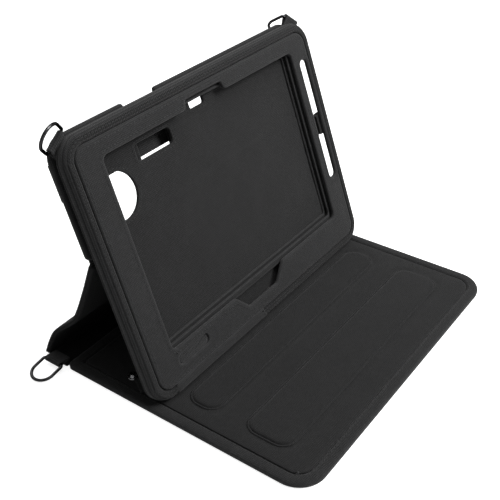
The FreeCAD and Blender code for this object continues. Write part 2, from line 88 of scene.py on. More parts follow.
def on_tray(along, up, out):
    return TRAY_FOOT + Vector((along * MM, 0.0, 0.0)) + TRAY_UP * up * MM + TRAY_OUT * out * MM


def tray_direction(along, up, out):
    return Vector((along, 0.0, 0.0)) + TRAY_UP * up + TRAY_OUT * out


def smooth_line(points, per_span=8):
    """Points along a smooth curve through the given ones."""
    ends = [points[0] * 2.0 - points[1]] + list(points) + [points[-1] * 2.0 - points[-2]]
    line = []
    for index in range(1, len(ends) - 2):
        before, here, ahead, beyond = ends[index - 1:index + 3]
        for step in range(per_span):
            t = step / per_span
            line.append(0.5 * (2.0 * here + (ahead - before) * t
                               + (2.0 * before - 5.0 * here + 4.0 * ahead - beyond) * t * t
                               + (3.0 * here - before - 3.0 * ahead + beyond) * t ** 3))
    line.append(points[-1].copy())
    return line


def bent_place(line):
    """Place function for cloth that follows a line of (y, z) points: height is to its left."""
    lengths = [0.0]
    for first, second in zip(line, line[1:]):
        lengths.append(lengths[-1] + (second - first).length)

    def place(across, along, out):
        spot = min(max(along, 0.0), lengths[-1] - 1e-6)
        index = int(np.searchsorted(lengths, spot, side="right")) - 1
        index = min(index, len(line) - 2)
        run = line[index + 1] - line[index]
        part = (spot - lengths[index]) / run.length
        before = line[index] - line[max(index - 1, 0)] if index else run
        beyond = line[min(index + 2, len(line) - 1)] - line[index + 1]
        beyond = beyond if beyond.length > 1e-6 else run
        start = (before.normalized() + run.normalized()).normalized()
        end = (run.normalized() + beyond.normalized()).normalized()
        heading = start.lerp(end, part).normalized()
        middle = line[index] + run * part + heading * (along - spot)
        left = Vector((-heading.y, heading.x))
        spot_2d = middle + left * out
        return Vector((across, spot_2d.x, spot_2d.y)) * MM

    return place, lengths[-1]


# ---------------------------------------------------------------- outlines
def close_points(points, step):
    """Adds points along the long runs of a closed outline."""
    filled = []
    for index, point in enumerate(points):
        follow = points[(index + 1) % len(points)]
        count = max(1, math.ceil((follow - point).length / step))
        filled.extend(point.lerp(follow, part / count) for part in range(count))
    return filled


def outline(corners, step=3.0):
    """Closed anticlockwise outline from (x, y, radius) corners."""
    points = []
    for index, (x, y, radius) in enumerate(corners):
        here = Vector((x, y))
        before = (Vector(corners[index - 1][:2]) - here).normalized()
        after = (Vector(corners[(index + 1) % len(corners)][:2]) - here).normalized()
        half = 0.5 * before.angle(after)
        centre = here + (before + after).normalized() * radius / math.sin(half)
        start = here + before * radius / math.tan(half) - centre
        turn = start.angle_signed(here + after * radius / math.tan(half) - centre)
        count = max(4, math.ceil(abs(turn) * radius / min(step, 2.0)))
        for part in range(count + 1):
            angle = -turn * part / count
            spin = Matrix.Rotation(angle, 2)
            points.append(centre + spin @ start)
    return close_points(points, step)


def rounded_box(left, low, right, high, radius, high_radius=None, step=3.0):
    top = radius if high_radius is None else high_radius
    return outline([(left, low, radius), (right, low, radius), (right, high, top),
                    (left, high, top)], step)


def circle(x, y, radius, count=40):
    turns = [2.0 * math.pi * index / count for index in range(count)]
    return [Vector((x + radius * math.cos(turn), y + radius * math.sin(turn))) for turn in turns]


def inward(loop, distance):
    moved = []
    for index, point in enumerate(loop):
        along = (loop[(index + 1) % len(loop)] - loop[index - 1]).normalized()
        moved.append(point + Vector((-along.y, along.x)) * distance)
    return moved


def inside(spots, loop):
    """Which of the spots lie inside the loop."""
    found = np.zeros(len(spots), bool)
    for index, point in enumerate(loop):
        last = loop[index - 1]
        crosses = (point.y > spots[:, 1]) != (last.y > spots[:, 1])
        rise = last.y - point.y
        if abs(rise) < 1e-12:
            continue
        reach = (last.x - point.x) * (spots[:, 1] - point.y) / rise + point.x
        found ^= crosses & (spots[:, 0] < reach)
    return found


def nearest(spots, others):
    """Distance from each spot to the nearest of the others."""
    others = np.array([tuple(point) for point in others], float)
    best = np.full(len(spots), 1e9)
    for start in range(0, len(others), 64):
        part = others[start:start + 64]
        gaps = spots[:, None, :] - part[None, :, :]
        best = np.minimum(best, np.sqrt((gaps ** 2).sum(axis=2)).min(axis=1))
    return best


# ---------------------------------------------------------------- mesh builders
class Shell:
    """Vertices, faces and cloth coordinates of one piece while it is made."""

    def __init__(self):
        self.vertices = []
        self.faces = []
        self.cloth = []
        self.wear = []

    def add(self, point, wear=0.0):
        self.vertices.append(point)
        self.wear.append(wear)
        return len(self.vertices) - 1

    def face(self, corners, cloth):
        self.faces.append(corners)
        self.cloth.append(cloth)

    def build(self, name, place, material, sharp=50.0):
        mesh = bpy.data.meshes.new(name)
        mesh.from_pydata([place(*point) for point in self.vertices], [], self.faces)
        layer = mesh.uv_layers.new(name="Cloth")
        spots = [spot for face in self.cloth for spot in face]
        layer.data.foreach_set("uv", [value * MM for spot in spots for value in spot])
        wear = mesh.attributes.new("wear", "FLOAT", "POINT")
        wear.data.foreach_set("value", self.wear)
        mesh.validate()
        return as_piece(name, mesh, material, sharp)


def as_piece(name, mesh, material, sharp=50.0):
    shell = bmesh_of(mesh)
    shell.to_mesh(mesh)
    shell.free()
    mesh.shade_smooth()
    mesh.set_sharp_from_angle(angle=math.radians(sharp))
    mesh.materials.clear()
    mesh.materials.append(material)
    piece = bpy.data.objects.new(name, mesh)
    bpy.context.scene.collection.objects.link(piece)
    return piece


def bmesh_of(mesh):
    shell = bmesh.new()
    shell.from_mesh(mesh)
    bmesh.ops.remove_doubles(shell, verts=shell.verts, dist=1e-6)
    bmesh.ops.recalc_face_normals(shell, faces=shell.faces)
    return shell


def fill(shell, loops, level, height, step, extra):
    """Fills between the last rings, given as (points, indices), with the first one outermost."""
    border = [point for points, _ in loops for point in points]
    known = [index for _, indices in loops for index in indices]
    edges = []
    start = 0
    for points, _ in loops:
        count = len(points)
        edges.extend((start + index, start + (index + 1) % count) for index in range(count))
        start += count
    outer = loops[0][0]
    low_x = min(point.x for point in outer)
    low_y = min(point.y for point in outer)
    high_x = max(point.x for point in outer)
    high_y = max(point.y for point in outer)
    across = np.linspace(low_x, high_x, max(2, round((high_x - low_x) / step)) + 1)
    along = np.linspace(low_y, high_y, max(2, round((high_y - low_y) / step)) + 1)
    grid = np.array([(x, y) for y in along for x in across])
    keep = inside(grid, outer)
    for points, _ in loops[1:]:
        keep &= ~inside(grid, points)
    grid = grid[keep]
    grid = grid[nearest(grid, border) > 0.55 * step]
    if extra:
        grid = grid[nearest(grid, extra) > 0.45 * step]
        grid = np.concatenate([grid, np.array([tuple(point) for point in extra])])
    gap = nearest(grid, border) if len(grid) else []
    for (x, y), distance in zip(grid, gap):
        known.append(shell.add((x, y, level + height(x, y, distance))))
    spots = border + [Vector((x, y)) for x, y in grid]
    points, _, triangles, origin, _, _ = delaunay_2d_cdt(spots, edges, [], 0, 1e-6)
    middles = np.array([tuple(sum((points[i] for i in triangle), Vector((0, 0))) / 3.0)
                        for triangle in triangles])
    keep = inside(middles, outer)
    for ring, _ in loops[1:]:
        keep &= ~inside(middles, ring)
    for triangle, wanted in zip(triangles, keep):
        if not wanted or any(not origin[i] for i in triangle):
            continue
        corners = [known[origin[i][0]] for i in triangle]
        shell.face(corners, [tuple(points[i]) for i in triangle])


def edge_rings(shell, loop, rim, sign):
    """Rings round an edge from the underside to the top; returns the first and the last."""
    steps = [math.dist(first, second) for first, second in zip(rim, rim[1:])]
    last_inset = rim[-1][0]
    rings = []
    for index, (inset, height) in enumerate(rim):
        points = inward(loop, sign * inset)
        cloth = inward(loop, sign * (last_inset - sum(steps[index:])))
        wear = max(0.0, 1.0 - inset / 2.5) if height > rim[0][1] else 0.0
        indices = [shell.add((point.x, point.y, height), wear) for point in points]
        rings.append((points, indices, cloth))
    count = len(loop)
    for (_, low, low_cloth), (_, high, high_cloth) in zip(rings, rings[1:]):
        for index in range(count):
            follow = (index + 1) % count
            shell.face([low[index], low[follow], high[follow], high[index]],
                       [tuple(low_cloth[index]), tuple(low_cloth[follow]),
                        tuple(high_cloth[follow]), tuple(high_cloth[index])])
    return rings[0][:2], rings[-1][:2]


def slab(name, place, material, loop, rim, holes=(), hole_rim=None, step=4.0, puff=0.0,
         reach=8.0, creases=(), ripple=0.0, under=0.0, sharp=50.0):
    """Closed cloth-covered slab: rim is (inset, height) pairs from the underside to the top.

    puff lifts the middle, creases are (points, width, depth), ripple is a slow unevenness."""
    shell = Shell()
    below, above = [], []
    first, last = edge_rings(shell, loop, rim, 1.0)
    below.append(first)
    above.append(last)
    for hole in holes:
        first, last = edge_rings(shell, hole, hole_rim or rim, -1.0)
        below.append(first)
        above.append(last)
    extra = [point for points, _, _ in creases for point in points]

    def lift(x, y, distance):
        rise = puff * (1.0 - math.exp(-(distance / reach) ** 2))
        fade = min(1.0, distance / reach)
        rise += ripple * fade * noise.noise(Vector((x, y, 7.0)) / 26.0)
        rise += 0.4 * ripple * fade * noise.noise(Vector((x, y, 3.0)) / 9.0)
        for points, width, depth in creases:
            gap = min((point.x - x) ** 2 + (point.y - y) ** 2 for point in points)
            rise -= depth * math.exp(-gap / width ** 2)
        return rise

    def sink(x, y, distance):
        return -under * (1.0 - math.exp(-(distance / reach) ** 2))

    fill(shell, above, rim[-1][1], lift, step, extra)
    fill(shell, below, rim[0][1], sink, 2.0 * step, [])
    return shell.build(name, place, material, sharp)


def band(name, place, material, loop, section, sharp=50.0):
    """Closed ring that follows an outline; the section is (inset, height) pairs all round."""
    shell = Shell()
    edge_rings(shell, loop, list(section) + [section[0]], 1.0)
    return shell.build(name, place, material, sharp)


def ribbon(name, material, centre, sides, wide, thick):
    """Flat webbing along a line of points in the frame; sides are the across directions."""
    shell = Shell()
    half = 0.5 * wide
    deep = 0.5 * thick
    section = ((-half, 0.0), (-half + 0.25, -deep), (-0.5 * half, -deep), (0.0, -deep),
               (0.5 * half, -deep), (half - 0.25, -deep), (half, 0.0), (half - 0.25, deep),
               (0.5 * half, deep), (0.0, deep), (-0.5 * half, deep), (-half + 0.25, deep))
    rows = []
    run = 0.0
    for index, point in enumerate(centre):
        before = centre[max(index - 1, 0)]
        after = centre[min(index + 1, len(centre) - 1)]
        run += (point - before).length / MM if index else 0.0
        side = sides[index].normalized()
        normal = (after - before).cross(side).normalized()
        row = []
        for across, up in section:
            spot = (point + side * across * MM + normal * up * MM) / MM
            row.append(shell.add(tuple(spot), max(0.0, 1.0 - (half - abs(across)) / 1.2)))
        rows.append((row, run))
    count = len(section)
    for (low, start), (high, end) in zip(rows, rows[1:]):
        for index in range(count):
            follow = (index + 1) % count
            left = section[index][0]
            right = section[follow][0]
            shell.face([low[index], low[follow], high[follow], high[index]],
                       [(left, start), (right, start), (right, end), (left, end)])
    for row, run in (rows[0], rows[-1]):
        shell.face(row, [(across, run + up) for across, up in section])
    return shell.build(name, on_table, material, 60.0)


def turned(name, place, material, profile, count=36):
    """Turned piece: the profile is (radius, height) pairs from the foot to the top."""
    shell = Shell()
    rings = []
    for radius, height in profile:
        ring = []
        for index in range(count):
            turn = 2.0 * math.pi * index / count
            ring.append(shell.add((radius * math.cos(turn), radius * math.sin(turn), height)))
        rings.append(ring)
    for low, high in zip(rings, rings[1:]):
        for index in range(count):
            follow = (index + 1) % count
            corners = [low[index], low[follow], high[follow], high[index]]
            shell.face(corners, [shell.vertices[corner][:2] for corner in corners])
    for ring in (rings[0], rings[-1]):
        shell.face(ring, [shell.vertices[corner][:2] for corner in ring])
    return shell.build(name, place, material, 40.0)


def carve(piece, cutters):
    """Cuts the cutters' shapes out of a piece and removes them."""
    for cutter in cutters:
        change = piece.modifiers.new("carve", "BOOLEAN")
        change.operation = "DIFFERENCE"
        change.solver = "EXACT"
        change.object = cutter
    plain = bpy.data.meshes.new_from_object(
        piece.evaluated_get(bpy.context.evaluated_depsgraph_get()))
    piece.modifiers.clear()
    old = piece.data
    piece.data = plain
    bpy.data.meshes.remove(old)
    for cutter in cutters:
        bpy.data.objects.remove(cutter)
    plain.shade_smooth()
    plain.set_sharp_from_angle(angle=math.radians(50.0))
    return piece


def settle(piece, body, slot, *nodes):
    """The piece rides on its body and stands for the given nodes."""
    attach(piece, body)
    if nodes:
        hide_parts(*nodes)
    return piece


# ---------------------------------------------------------------- shared shader groups
class Nodes:
    """Short way to add linked nodes to a tree."""

    def __init__(self, tree):
        self.tree = tree

    def add(self, kind, **values):
        node = self.tree.nodes.new(kind)
        for name, value in values.items():
            setattr(node, name, value)
        return node

    def wired(self, kind, sockets, **values):
        """Adds a node and fills the named sockets with links or plain values."""
        node = self.add(kind, **values)
        for name, value in sockets.items():
            self.put(node.inputs[name], value)
        return node

    def math(self, operation, first, second=None, clamp=False):
        node = self.add("ShaderNodeMath", operation=operation, use_clamp=clamp)
        self.put(node.inputs[0], first)
        if second is not None:
            self.put(node.inputs[1], second)
        return node.outputs[0]

    def vector(self, operation, first, second=None, scale=None):
        node = self.add("ShaderNodeVectorMath", operation=operation)
        self.put(node.inputs[0], first)
        if second is not None:
            self.put(node.inputs[1], second)
        if scale is not None:
            self.put(node.inputs["Scale"], scale)
        return node.outputs[0]

    def mix(self, factor, first, second, blend="MIX"):
        return self.wired("ShaderNodeMix", {"Factor": factor, 6: first, 7: second},
                          data_type="RGBA", blend_type=blend).outputs[2]

    def noise(self, vector, scale, detail=3.0, rough=0.6):
        return self.wired("ShaderNodeTexNoise", {"Vector": vector, "Scale": scale, "Detail": detail,
                                                 "Roughness": rough}).outputs["Fac"]

    def put(self, socket, value):
        if isinstance(value, bpy.types.NodeSocket):
            self.tree.links.new(value, socket)
        else:
            socket.default_value = value


def new_group(name, inputs, outputs):
    tree = bpy.data.node_groups.new(name, "ShaderNodeTree")
    for label, kind, value in inputs:
        socket = tree.interface.new_socket(label, in_out="INPUT", socket_type=kind)
        if value is not None:
            socket.default_value = value
    for label, kind in outputs:
        tree.interface.new_socket(label, in_out="OUTPUT", socket_type=kind)
    nodes = Nodes(tree)
    return tree, nodes, nodes.add("NodeGroupInput"), nodes.add("NodeGroupOutput")


def make_weave_group():
    """Plain weave: warp and weft threads that cross over and under in turn."""
    tree, nodes, given, result = new_group(
        "plain_weave",
        [("Vector", "NodeSocketVector", None), ("Threads per metre", "NodeSocketFloat", 1000.0),
         ("Unevenness", "NodeSocketFloat", 0.3)],
        [("Height", "NodeSocketFloat"), ("Thread shade", "NodeSocketFloat")])
    wobble = nodes.wired("ShaderNodeTexNoise", {"Vector": given.outputs["Vector"], "Scale": 160.0,
                                                "Detail": 2.0})
    centred = nodes.vector("SUBTRACT", wobble.outputs["Color"], (0.5, 0.5, 0.5))
    soft = nodes.vector("SCALE", centred, scale=given.outputs["Unevenness"])
    threads = nodes.vector("SCALE", given.outputs["Vector"], scale=given.outputs["Threads per metre"])
    moved = nodes.vector("ADD", threads, soft)
    apart = nodes.wired("ShaderNodeSeparateXYZ", {0: moved})
    wave_x = nodes.math("SINE", nodes.math("MULTIPLY", apart.outputs["X"], math.pi))
    wave_y = nodes.math("SINE", nodes.math("MULTIPLY", apart.outputs["Y"], math.pi))
    warp = nodes.math("ABSOLUTE", wave_x)
    weft = nodes.math("ABSOLUTE", wave_y)
    over = nodes.math("GREATER_THAN", nodes.math("MULTIPLY", wave_x, wave_y), 0.0)
    dip_x = nodes.math("ADD", nodes.math("MULTIPLY", weft, 0.5), 0.5)
    dip_y = nodes.math("ADD", nodes.math("MULTIPLY", warp, 0.5), 0.5)
    warp_top = nodes.math("MULTIPLY", nodes.math("MULTIPLY", warp, dip_x), over)
    under = nodes.math("SUBTRACT", 1.0, over)
    weft_top = nodes.math("MULTIPLY", nodes.math("MULTIPLY", weft, dip_y), under)
    height = nodes.math("ADD", warp_top, weft_top)
    strands = nodes.wired("ShaderNodeTexWhiteNoise", {"Vector": nodes.vector("FLOOR", moved)},
                          noise_dimensions="2D")
    shade = nodes.math("MULTIPLY", height,
                       nodes.math("ADD", nodes.math("MULTIPLY", strands.outputs[0], 0.5), 0.75))
    nodes.put(result.inputs["Height"], height)
    nodes.put(result.inputs["Thread shade"], shade)
    return tree


def make_mottle_group():
    """Slow unevenness of dye and handling, with fine lint."""
    tree, nodes, given, result = new_group(
        "mottle",
        [("Vector", "NodeSocketVector", None), ("Amount", "NodeSocketFloat", 0.3)],
        [("Shade", "NodeSocketFloat"), ("Lint", "NodeSocketFloat")])
    broad = nodes.noise(given.outputs["Vector"], 22.0, 4.0)
    close = nodes.noise(given.outputs["Vector"], 330.0, 3.0, 0.8)
    both = nodes.math("ADD", nodes.math("MULTIPLY", broad, 0.35), nodes.math("MULTIPLY", close, 0.65))
    swing = nodes.math("MULTIPLY", nodes.math("SUBTRACT", both, 0.5), given.outputs["Amount"])
    nodes.put(result.inputs["Shade"], nodes.math("ADD", swing, 0.5))
    lint = nodes.noise(given.outputs["Vector"], 1500.0, 1.0, 0.9)
    speck = nodes.math("MULTIPLY", nodes.math("SUBTRACT", lint, 0.7), 6.0, clamp=True)
    nodes.put(result.inputs["Lint"], speck)
    return tree


def make_wear_group():
    """Rubbed edges: follows each piece's own wear value, broken up by noise."""
    tree, nodes, given, result = new_group(
        "rubbed_edge",
        [("Vector", "NodeSocketVector", None), ("Amount", "NodeSocketFloat", 0.5)],
        [("Mask", "NodeSocketFloat")])
    wear = nodes.add("ShaderNodeAttribute", attribute_name="wear")
    broken = nodes.noise(given.outputs["Vector"], 240.0, 4.0, 0.7)
    mask = nodes.math("MULTIPLY", wear.outputs["Fac"],
                      nodes.math("MULTIPLY", nodes.math("SUBTRACT", broken, 0.25), 1.6, clamp=True))
    nodes.put(result.inputs["Mask"], nodes.math("MULTIPLY", mask, given.outputs["Amount"]))
    return tree


GROUPS = {"weave": make_weave_group(), "mottle": make_mottle_group(), "wear": make_wear_group()}


# ---------------------------------------------------------------- materials
def new_material(name):
    material = bpy.data.materials.new(name)
    material.use_nodes = True
    tree = material.node_tree
    return material, Nodes(tree), tree.nodes["Principled BSDF"]


def grouped(nodes, label, **values):
    sockets = {name.replace("_", " "): value for name, value in values.items()}
    return nodes.wired("ShaderNodeGroup", sockets, node_tree=GROUPS[label])


def cloth(name, deep, lit, threads, rough=0.85, bump=0.25, mottle=0.5, wear=0.35, sheen=0.07,
          source="UV"):
    """Woven cloth: deep and lit are the colours between and on top of the threads."""
    material, nodes, shader = new_material(name)
    spot = nodes.add("ShaderNodeTexCoord").outputs[source]
    weave = grouped(nodes, "weave", Vector=spot, Threads_per_metre=threads, Unevenness=0.5)
    blotch = grouped(nodes, "mottle", Vector=spot, Amount=mottle)
    rubbed = grouped(nodes, "wear", Vector=spot, Amount=wear)
    base = nodes.mix(weave.outputs["Thread shade"], (*deep, 1.0), (*lit, 1.0))
    shade = nodes.add("ShaderNodeCombineColor")
    tone = nodes.math("ADD", nodes.math("MULTIPLY", blotch.outputs["Shade"], 1.2), 0.4)
    for socket in shade.inputs[:3]:
        nodes.put(socket, tone)
    toned = nodes.mix(1.0, base, shade.outputs[0], "MULTIPLY")
    pale = tuple(min(1.0, value * 2.2 + 0.01) for value in lit)
    linted = nodes.mix(nodes.math("MULTIPLY", blotch.outputs["Lint"], 0.35), toned, (*pale, 1.0))
    worn = nodes.mix(rubbed.outputs["Mask"], linted, (*pale, 1.0))
    nodes.put(shader.inputs["Base Color"], worn)
    gloss = nodes.math("SUBTRACT", rough + 0.06, nodes.math("MULTIPLY", weave.outputs["Height"], 0.12))
    nodes.put(shader.inputs["Roughness"], gloss)
    shader.inputs["Specular IOR Level"].default_value = 0.16
    shader.inputs["Sheen Weight"].default_value = sheen
    shader.inputs["Sheen Roughness"].default_value = 0.5
    fuzz = nodes.math("MULTIPLY", blotch.outputs["Lint"], 0.5)
    relief = nodes.wired("ShaderNodeBump", {"Strength": 0.6, "Distance": bump * MM, "Height":
                                            nodes.math("ADD", weave.outputs["Height"], fuzz)})
    nodes.put(shader.inputs["Normal"], relief.outputs[0])
    return material


def steel(name, dark, light):
    """Dark plated metal with fine scratches and dulled patches."""
    material, nodes, shader = new_material(name)
    spot = nodes.add("ShaderNodeTexCoord").outputs["Object"]
    dull = nodes.noise(spot, 300.0, 4.0)
    tint = nodes.mix(dull, (*dark, 1.0), (*light, 1.0))
    nodes.put(shader.inputs["Base Color"], tint)
    shader.inputs["Metallic"].default_value = 1.0
    shader.inputs["Specular Tint"].default_value = (0.25, 0.25, 0.25, 1.0)
    nodes.put(shader.inputs["Roughness"],
              nodes.math("ADD", nodes.math("MULTIPLY", dull, 0.22), 0.14))
    marks = nodes.wired("ShaderNodeBump", {"Strength": 0.15, "Distance": 0.05 * MM,
                                           "Height": nodes.noise(spot, 2600.0, 2.0)})
    nodes.put(shader.inputs["Normal"], marks.outputs[0])
    return material


def grey(value):
    return (value, value, value * 1.03)


OUTER = cloth("outer_cloth", grey(0.0006), grey(0.0125), 760.0, bump=0.4, mottle=1.3)
TAPE = cloth("binding_cloth", grey(0.0004), grey(0.007), 620.0, bump=0.6, mottle=1.3)
# Darker cloth: partly the real black lining, partly painted shade for the shadowed inside of the stand and
# for the spine.
DARK_CLOTH_AND_SHADE = cloth("black_cloth_and_painted_shade", grey(0.001), grey(0.007), 900.0, bump=0.2, mottle=0.8, wear=0.0, sheen=0.0)
FRAME = cloth("frame_cloth", grey(0.001), grey(0.0165), 800.0, bump=0.35, mottle=1.2)
LINING = cloth("lining_cloth", grey(0.0006), grey(0.0085), 820.0, bump=0.35, mottle=1.2, wear=0.2)
INNER = cloth("tray_lining", grey(0.0006), grey(0.0105), 780.0, bump=0.35, mottle=1.4, wear=0.2)
# Inside cloth darker than the tray lining: painted shade for the recessed steps and walls inside the tray.
SHADED_INSIDE_CLOTH = cloth("inside_cloth_painted_shade", grey(0.001), grey(0.008), 1150.0, bump=0.2, source="Object")
WEBBING = cloth("webbing", grey(0.001), grey(0.02), 700.0, bump=0.5, mottle=1.0, wear=0.5)
THREAD = cloth("thread", grey(0.006), grey(0.03), 3000.0, bump=0.06, source="Object", wear=0.0)
STEEL = steel("plated_wire", grey(0.02), grey(0.06))
BRIGHT = steel("bright_stud", grey(0.22), grey(0.45))


# ---------------------------------------------------------------- stitching
def make_stitch_tree():
    """Small thread stitches at even steps along the edges of a line mesh."""
    tree = bpy.data.node_groups.new("stitch_row", "GeometryNodeTree")
    for label, kind in (("Line", "NodeSocketGeometry"), ("Pitch", "NodeSocketFloat"),
                        ("Length", "NodeSocketFloat"), ("Thickness", "NodeSocketFloat"),
                        ("Wander", "NodeSocketFloat"), ("Seed", "NodeSocketInt"),
                        ("Thread", "NodeSocketMaterial")):
        tree.interface.new_socket(label, in_out="INPUT", socket_type=kind)
    tree.interface.new_socket("Stitches", in_out="OUTPUT", socket_type="NodeSocketGeometry")
    nodes = Nodes(tree)
    given = nodes.add("NodeGroupInput")
    result = nodes.add("NodeGroupOutput")
    curve = nodes.wired("GeometryNodeMeshToCurve", {"Mesh": given.outputs["Line"]})
    even = nodes.wired("GeometryNodeResampleCurve",
                       {"Curve": curve.outputs[0], "Length": given.outputs["Pitch"]}, mode="LENGTH")
    tangent = nodes.add("GeometryNodeInputTangent")
    turn = nodes.wired("FunctionNodeAlignRotationToVector", {"Vector": tangent.outputs[0]}, axis="X")
    bead = nodes.wired("GeometryNodeMeshUVSphere", {"Segments": 8, "Rings": 5, "Radius": 0.5})
    thick = given.outputs["Thickness"]
    size = nodes.wired("ShaderNodeCombineXYZ", {"X": given.outputs["Length"], "Y": thick, "Z": thick})
    wander = given.outputs["Wander"]
    chance = nodes.wired("FunctionNodeRandomValue",
                         {2: nodes.math("SUBTRACT", 1.0, wander), 3: nodes.math("ADD", 1.0, wander),
                          "Seed": given.outputs["Seed"]}, data_type="FLOAT")
    uneven = nodes.vector("SCALE", size.outputs[0], scale=chance.outputs[1])
    placed = nodes.wired("GeometryNodeInstanceOnPoints",
                         {"Points": even.outputs[0], "Instance": bead.outputs[0],
                          "Rotation": turn.outputs[0], "Scale": uneven})
    real = nodes.wired("GeometryNodeRealizeInstances", {0: placed.outputs[0]})
    dyed = nodes.wired("GeometryNodeSetMaterial",
                       {"Geometry": real.outputs[0], "Material": given.outputs["Thread"]})
    nodes.put(result.inputs[0], dyed.outputs[0])
    return tree


STITCH_TREE = make_stitch_tree()


def stitches(name, body, runs, pitch=3.2, length=2.3, thick=0.55, seed=1):
    """One mesh of all the stitch rows that ride on a body; runs are (points, closed)."""
    points, edges = [], []
    for line, closed in runs:
        start = len(points)
        points.extend(line)
        count = len(line)
        edges.extend((start + index, start + index + 1) for index in range(count - 1))
        if closed:
            edges.append((start + count - 1, start))
    mesh = bpy.data.meshes.new(name)
    mesh.from_pydata(points, edges, [])
    piece = bpy.data.objects.new(name, mesh)
    bpy.context.scene.collection.objects.link(piece)
    change = piece.modifiers.new("row", "NODES")
    change.node_group = STITCH_TREE
    values = {"Pitch": pitch * MM, "Length": length * MM, "Thickness": thick * MM,
              "Wander": 0.12, "Seed": seed, "Thread": THREAD}
    for item in STITCH_TREE.interface.items_tree:
        if item.in_out == "INPUT" and item.name in values:
            change[item.identifier] = values[item.name]
    plain = bpy.data.meshes.new_from_object(
        piece.evaluated_get(bpy.context.evaluated_depsgraph_get()))
    piece.modifiers.clear()
    piece.data = plain
    plain.shade_smooth()
    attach(piece, body)
    return piece


def row(place, loop, height, closed=True):
    return [place(point.x, point.y, height) for point in loop], closed


# ---------------------------------------------------------------- base cover
def cover_outline(inset, step=3.0):
    half = 0.5 * CASE_LONG - inset
    deep = 0.5 * COVER_DEEP - inset
    front = max(FRONT_ROUND - inset, 4.0)
    back = max(BACK_ROUND - inset, 3.0)
    return rounded_box(-half, -deep, half, deep, front, back, step)


def make_base_cover():
    """Outer cloth with its padded border, then the lining sewn down inside it."""
    section = [(2.2, 0.0), (0.9, 0.25), (0.15, 1.0), (0.0, 2.2), (0.1, 3.4), (0.7, 4.4),
               (1.8, 4.95), (3.4, COVER_TOP + 0.12), (5.6, COVER_TOP + 0.1), (7.4, 4.85), (8.5, 4.4),
               (9.1, 3.7), (9.3, 3.0), (12.0, 2.8)]
    cover = slab("base_cover", on_table, OUTER, cover_outline(0.0), section, step=9.0)
    settle(cover, "base", "outer_fabric", "base_outer", "base_border", "base_board",
           "base_foam")
    edge = [(1.2, 2.9), (0.35, 3.1), (0.0, 3.6), (0.15, 4.25), (0.8, 4.7), (2.2, 4.9)]
    folds = [([Vector((x, 98.0 + 0.8 * math.sin(x / 31.0))) for x in range(-128, 129, 3)], 2.2, 0.7)]
    for node in ("pad_back", "pad_front"):
        low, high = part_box(node)
        loop = rounded_box(low[0] / MM - 0.8, low[1] / MM - 0.8, high[0] / MM + 0.8,
                           high[1] / MM + 0.8, 13.0)
        folds.append((loop, 1.5, 0.8))
    lining = slab("base_lining_panel", on_table, LINING, cover_outline(9.5), edge, step=3.6,
                  puff=0.28, reach=6.0, creases=folds, ripple=0.35)
    settle(lining, "base", "lining_fabric", "base_lining")
    return [row(on_table, cover_outline(7.2), 4.95)]


def make_pad(name, node):
    """Raised pad: pressed flange, rolled edge and a crowned top."""
    low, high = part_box(node)
    left, front = (low.x if hasattr(low, "x") else low[0]) / MM, low[1] / MM
    right, back = high[0] / MM, high[1] / MM
    loop = rounded_box(left, front, right, back, 12.5, step=3.0)
    section = [(0.4, 4.6), (0.0, 4.9), (0.1, 5.25), (0.6, 5.5), (1.1, 5.35), (1.35, 5.1),
               (1.6, 5.5), (2.0, 6.2), (2.7, 6.65), (3.8, 6.85), (5.4, 6.9)]
    pad = slab(name, on_table, LINING, loop, section, step=3.4, puff=0.35, reach=9.0,
               ripple=0.3)
    settle(pad, "base", "lining_fabric", node)
    return pad


def make_stud():
    """Press stud with a rolled rim, and the short tab that carries it."""
    low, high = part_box("press_stud")
    x = 500.0 * (low[0] + high[0])
    y = 500.0 * (low[1] + high[1])

    def place(across, along, out):
        return on_table(x + across, y + along, COVER_TOP + out)

    profile = [(4.0, 0.0), (4.2, 0.3), (4.0, 0.7), (3.2, 0.85), (2.6, 0.7), (2.3, 1.0),
               (2.1, 1.9), (2.45, 2.5), (2.3, 2.9), (1.5, 3.05), (0.05, 3.1)]
    stud = turned("stud", place, BRIGHT, profile)
    settle(stud, "base", "bright_steel", "press_stud")
    line = [on_table(x - 0.5, y - 3.0, 5.3), on_table(x - 3.0, y - 8.0, 5.5),
            on_table(x - 6.0, y - 13.5, 5.6), on_table(x - 8.6, y - 17.5, 5.4)]
    line = smooth_line(line, 5)
    side = Vector((0.87, -0.5, 0.0))
    settle(ribbon("stud_tab", WEBBING, line, [side] * len(line), 4.0, 0.7), "base", "webbing")

    def corner(across, along, out):
        return on_table(-131.4 + across, -94.0 + along, 4.6 + out)

    eyelet = [(1.3, 0.0), (1.4, 0.2), (1.2, 0.4), (0.9, 0.35), (0.7, 0.1), (0.6, -0.4), (0.05, -0.5)]
    settle(turned("corner_eyelet", corner, STEEL, eyelet, 20), "base", "bright_steel")


# ---------------------------------------------------------------- spine and stand
def stand_line():
    """Side view of the stand's back, from the foot fold up to the tray's fold, in (y, z)."""
    foot = Vector((137.0, 1.2))
    knee_low = Vector((122.6, 29.0))
    knee = Vector((111.0, 40.5))
    knee_high = Vector((100.2, 50.5))
    waist = Vector((93.8, 60.0))
    head = Vector((72.3, 111.0))
    points = [foot, foot.lerp(knee_low, 0.5) + Vector((0.8, 0.3)), knee_low, knee, knee_high,
              waist, waist.lerp(head, 0.5) - Vector((0.5, 0.4)), head]
    return smooth_line(points, 8)


